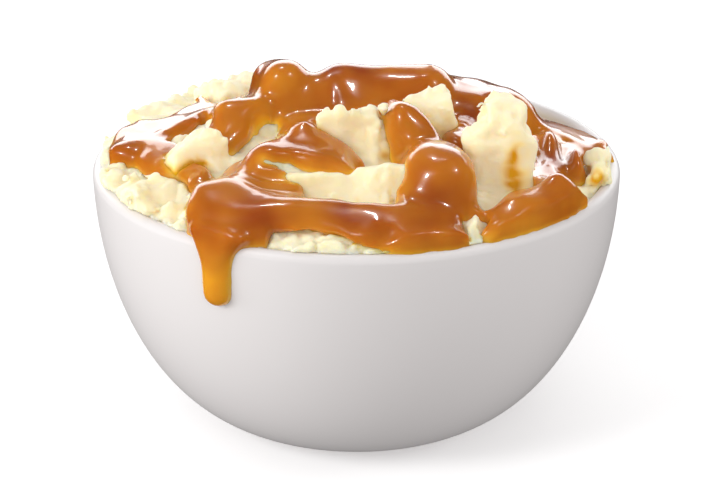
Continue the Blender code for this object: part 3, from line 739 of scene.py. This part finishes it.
def bowl_piece():
    """The bowl, turned from its profile with many sides."""
    sides = 160
    rings = []
    steps = 48
    for step in range(steps + 1):
        turn = math.pi / 2 * step / (steps + 0.35 * 48 / 8)
        radius = FOOT_RADIUS + (RIM_RADIUS - FOOT_RADIUS) * math.sin(turn)
        rings.append((radius, RIM_HEIGHT * (1 - math.cos(turn))))
    for step in range(17):
        turn = math.pi * step / 16
        radius = RIM_RADIUS - WALL / 2 + WALL / 2 * math.cos(turn)
        rings.append((radius, RIM_HEIGHT - WALL / 2 + WALL / 2 * math.sin(turn)))
    flat = FOOT_RADIUS - WALL
    for step in reversed(range(32)):
        turn = math.pi / 2 * step / 32
        radius = flat + (RIM_RADIUS - WALL - flat) * math.sin(turn)
        rings.append((radius, RIM_HEIGHT - (RIM_HEIGHT - FLOOR) * math.cos(turn)))
    rings = [(0.4, 0.0)] + rings + [(0.4, FLOOR)]
    turns = np.arange(sides) * 2 * math.pi / sides
    points = [(r * math.cos(t), r * math.sin(t), z) for r, z in rings for t in turns]
    faces = []
    for ring in range(len(rings) - 1):
        for side in range(sides):
            after = (side + 1) % sides
            low = ring * sides
            faces.append((low + side, low + after, low + sides + after, low + sides + side))
    points += [(0, 0, 0), (0, 0, FLOOR)]
    last = (len(rings) - 1) * sides
    for side in range(sides):
        after = (side + 1) % sides
        faces.append((len(points) - 2, after, side, side))
        faces.append((len(points) - 1, last + side, last + after, last + after))
    return points, faces


def shader_material(name):
    made = bpy.data.materials.new(name)
    made.use_nodes = True
    tree = made.node_tree
    return made, tree, tree.nodes["Principled BSDF"]


def add_node(tree, kind, **settings):
    node = tree.nodes.new(kind)
    for key, value in settings.items():
        setattr(node, key, value)
    return node


def ramp_node(tree, stops):
    node = tree.nodes.new("ShaderNodeValToRGB")
    ramp = node.color_ramp
    while len(ramp.elements) < len(stops):
        ramp.elements.new(0.5)
    for element, (position, colour) in zip(ramp.elements, stops):
        element.position = position
        element.color = (*colour, 1)
    return node


def linear(red, green, blue):
    """Scene-linear colour from the 0 to 255 values of a screen."""
    return tuple(((c / 255 + 0.055) / 1.055) ** 2.4 if c > 10 else c / 255 / 12.92 for c in (red, green, blue))


def noise_texture(tree, scale, detail=3.0, rough=0.55):
    node = tree.nodes.new("ShaderNodeTexNoise")
    place = tree.nodes.new("ShaderNodeTexCoord")
    tree.links.new(place.outputs["Object"], node.inputs["Vector"])
    node.inputs["Scale"].default_value = scale
    node.inputs["Detail"].default_value = detail
    node.inputs["Roughness"].default_value = rough
    return node


def mixed(tree, factor, first, second, blend="MIX"):
    node = tree.nodes.new("ShaderNodeMix")
    node.data_type = "RGBA"
    node.blend_type = blend
    for socket, value in ((node.inputs[0], factor), (node.inputs[6], first), (node.inputs[7], second)):
        if isinstance(value, bpy.types.NodeSocket):
            tree.links.new(value, socket)
        elif isinstance(value, tuple):
            socket.default_value = (*value, 1)
        else:
            socket.default_value = value
    return node.outputs[2]


def bump(tree, height, strength, distance, normal=None):
    node = tree.nodes.new("ShaderNodeBump")
    node.inputs["Strength"].default_value = strength
    node.inputs["Distance"].default_value = distance
    tree.links.new(height, node.inputs["Height"])
    if normal:
        tree.links.new(normal, node.inputs["Normal"])
    return node.outputs["Normal"]


def mash_material():
    made, tree, shader = shader_material("mash")
    soak = add_node(tree, "ShaderNodeAttribute", attribute_name="soak")
    patches = noise_texture(tree, 90.0)
    plain = mixed(tree, patches.outputs["Fac"], linear(248, 237, 208), linear(246, 229, 182))
    stained = ramp_node(
        tree,
        (
            (0.0, linear(250, 232, 178)),
            (0.5, linear(246, 212, 110)),
            (1.0, linear(220, 160, 14)),
        ),
    )
    tree.links.new(soak.outputs["Fac"], stained.inputs["Fac"])
    colour = mixed(tree, soak.outputs["Fac"], plain, stained.outputs["Color"])
    tree.links.new(colour, shader.inputs["Base Color"])
    grain = noise_texture(tree, 1400.0, 4.0)
    tree.links.new(bump(tree, grain.outputs["Fac"], 0.25, 0.0004), shader.inputs["Normal"])
    shader.inputs["Roughness"].default_value = 0.6
    shader.inputs["Specular IOR Level"].default_value = 0.3
    shader.inputs["Subsurface Weight"].default_value = 0.85
    shader.inputs["Subsurface Radius"].default_value = (1.0, 0.78, 0.45)
    shader.inputs["Subsurface Scale"].default_value = 0.004
    return made


def gravy_material():
    made, tree, shader = shader_material("gravy")
    depth = add_node(tree, "ShaderNodeAttribute", attribute_name="depth")
    share = add_node(tree, "ShaderNodeMapRange")
    share.inputs["From Max"].default_value = 3.2
    tree.links.new(depth.outputs["Fac"], share.inputs["Value"])
    body = ramp_node(
        tree,
        (
            (0.0, linear(238, 188, 74)),
            (0.12, linear(228, 162, 42)),
            (0.35, linear(207, 135, 38)),
            (1.0, linear(191, 115, 33)),
        ),
    )
    tree.links.new(share.outputs["Result"], body.inputs["Fac"])
    cloud = noise_texture(tree, 55.0, 2.0)
    patches = ramp_node(
        tree,
        (
            (0.36, linear(226, 198, 176)),
            (0.5, linear(248, 240, 228)),
            (0.64, linear(255, 255, 232)),
        ),
    )
    tree.links.new(cloud.outputs["Fac"], patches.inputs["Fac"])
    colour = mixed(tree, 1.0, body.outputs["Color"], patches.outputs["Color"], "MULTIPLY")
    # Painted shade in the gap and other hollows, partly the deeper brown of thick gravy, mixed in from the
    # dark attribute
    dark = add_node(tree, "ShaderNodeAttribute", attribute_name="dark")
    colour = mixed(tree, dark.outputs["Fac"], colour, linear(146, 60, 22))
    tree.links.new(colour, shader.inputs["Base Color"])
    shader.inputs["Roughness"].default_value = 0.24
    shader.inputs["IOR"].default_value = 1.42
    shader.inputs["Coat Weight"].default_value = 0.6
    shader.inputs["Coat Roughness"].default_value = 0.04
    shader.inputs["Coat IOR"].default_value = 1.45
    shader.inputs["Subsurface Weight"].default_value = 0.6
    shader.inputs["Subsurface Radius"].default_value = (1.0, 0.5, 0.12)
    shader.inputs["Subsurface Scale"].default_value = 0.004
    return made


def porcelain_material():
    made, tree, shader = shader_material("porcelain")
    cloud = noise_texture(tree, 14.0)
    colour = mixed(tree, cloud.outputs["Fac"], linear(221, 217, 216), linear(217, 213, 212))
    tree.links.new(colour, shader.inputs["Base Color"])
    shader.inputs["Roughness"].default_value = 0.38
    shader.inputs["Specular IOR Level"].default_value = 0.4
    return made


def add_light(name, place, target, size, power, colour=(1, 1, 1)):
    data = bpy.data.lights.new(name, "AREA")
    data.shape = "RECTANGLE"
    data.size, data.size_y = size
    data.energy = power
    data.color = colour
    made = bpy.data.objects.new(name, data)
    bpy.context.scene.collection.objects.link(made)
    made.location = place
    aim(made, target)
    return made


def aim(item, target):
    from mathutils import Vector

    item.rotation_euler = (Vector(target) - item.location).to_track_quat("-Z", "Y").to_euler()


# Camera
CAMERA_DISTANCE = 0.650
CAMERA_ELEVATION = math.radians(22.2)
CAMERA_TARGET = (0.0, 0.0, 0.0411)
CAMERA_LENS = 130.8


def add_camera():
    data = bpy.data.cameras.new("camera")
    data.lens = CAMERA_LENS
    data.sensor_width = 36.0
    made = bpy.data.objects.new("camera", data)
    bpy.context.scene.collection.objects.link(made)
    away = (0.0, -math.cos(CAMERA_ELEVATION), math.sin(CAMERA_ELEVATION))
    made.location = [t + CAMERA_DISTANCE * a for t, a in zip(CAMERA_TARGET, away)]
    aim(made, CAMERA_TARGET)
    bpy.context.scene.camera = made


def add_studio():
    """White surroundings, a soft key from the upper left, a sheet of light behind and a pale floor."""
    world = bpy.data.worlds.new("studio")
    bpy.context.scene.world = world
    world.use_nodes = True
    world.node_tree.nodes["Background"].inputs["Color"].default_value = (1.0, 0.985, 0.985, 1)
    world.node_tree.nodes["Background"].inputs["Strength"].default_value = 0.57
    world.cycles_visibility.glossy = False
    key = add_light("key", (-0.85, -0.60, 0.60), (0, 0, 0.06), (0.45, 0.45), 5.6)
    top = add_light("top", (0.05, 0.45, 0.85), (0, 0, 0.08), (1.0, 0.6), 1.8)
    right = add_light("right", (0.95, 0.05, 0.30), (0, 0, 0.06), (0.5, 0.5), 3.0)
    front = add_light("front", (0.10, -1.00, 0.45), (0, 0, 0.07), (0.8, 0.6), 2.6)
    left = add_light("left", (-1.10, -0.10, 0.12), (0, 0, 0.05), (0.6, 0.4), 6.3)
    for light in (key, top, right, front, left):
        light.visible_glossy = False
    left_glint = add_light("left_glint", (-0.45, -0.35, 0.80), (0, 0, 0.06), (0.07, 0.07), 2.0)
    right_glint = add_light("right_glint", (0.40, -0.20, 0.90), (0, 0, 0.06), (0.06, 0.06), 1.2)
    back_glint = add_light("back_glint", (-0.10, 0.35, 0.95), (0, 0, 0.06), (0.10, 0.05), 1.1)
    backdrop = add_light("backdrop", (0.0, 1.30, 0.50), (0, 0, 0.07), (2.4, 0.7), 20.0, (0.93, 0.97, 1.0))
    for light in (left_glint, right_glint, back_glint, backdrop):
        light.visible_diffuse = False
    floor_points = [(-4000, -4000, 0), (4000, -4000, 0), (4000, 4000, 0), (-4000, 4000, 0)]
    floor = mesh_object("floor", floor_points, [(0, 1, 2, 3)])
    made, tree, shader = shader_material("floor")
    shader.inputs["Base Color"].default_value = (1.0, 1.0, 1.0, 1)
    shader.inputs["Roughness"].default_value = 0.8
    shader.inputs["Specular IOR Level"].default_value = 0.0
    shader.inputs["Emission Color"].default_value = (1.0, 0.99, 1.0, 1)
    shader.inputs["Emission Strength"].default_value = 0.14
    floor.data.materials.append(made)
    floor.visible_diffuse = False
    floor.visible_glossy = False
    floor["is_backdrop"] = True
    bpy.context.scene.view_settings.view_transform = "Standard"


def dress(name, node, points, faces, finish, attributes=None):
    piece = mesh_object(name, points, faces, attributes)
    piece.data.materials.append(finish)
    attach(piece, "root")
    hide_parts(node)
    return piece


def main():
    add_camera()
    add_studio()
    points, faces = bowl_piece()
    dress("bowl_glazed", "bowl", points, faces, porcelain_material())
    points, quads = make_mash()
    dress("mash", "mashed_potato", points, quads, mash_material(), {"soak": soak_of(points)})
    points, quads = make_gravy()
    # dark holds painted shade in the gap and other hollows, partly the deeper brown of thick gravy
    shades = {"depth": depth_of(points), "dark": shade_and_pool_of(points)}
    dress("gravy_poured", "gravy", points, quads, gravy_material(), shades)


main()
[[list(map(float, corner)) for corner in box] for box in (CAD_BOX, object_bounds())]
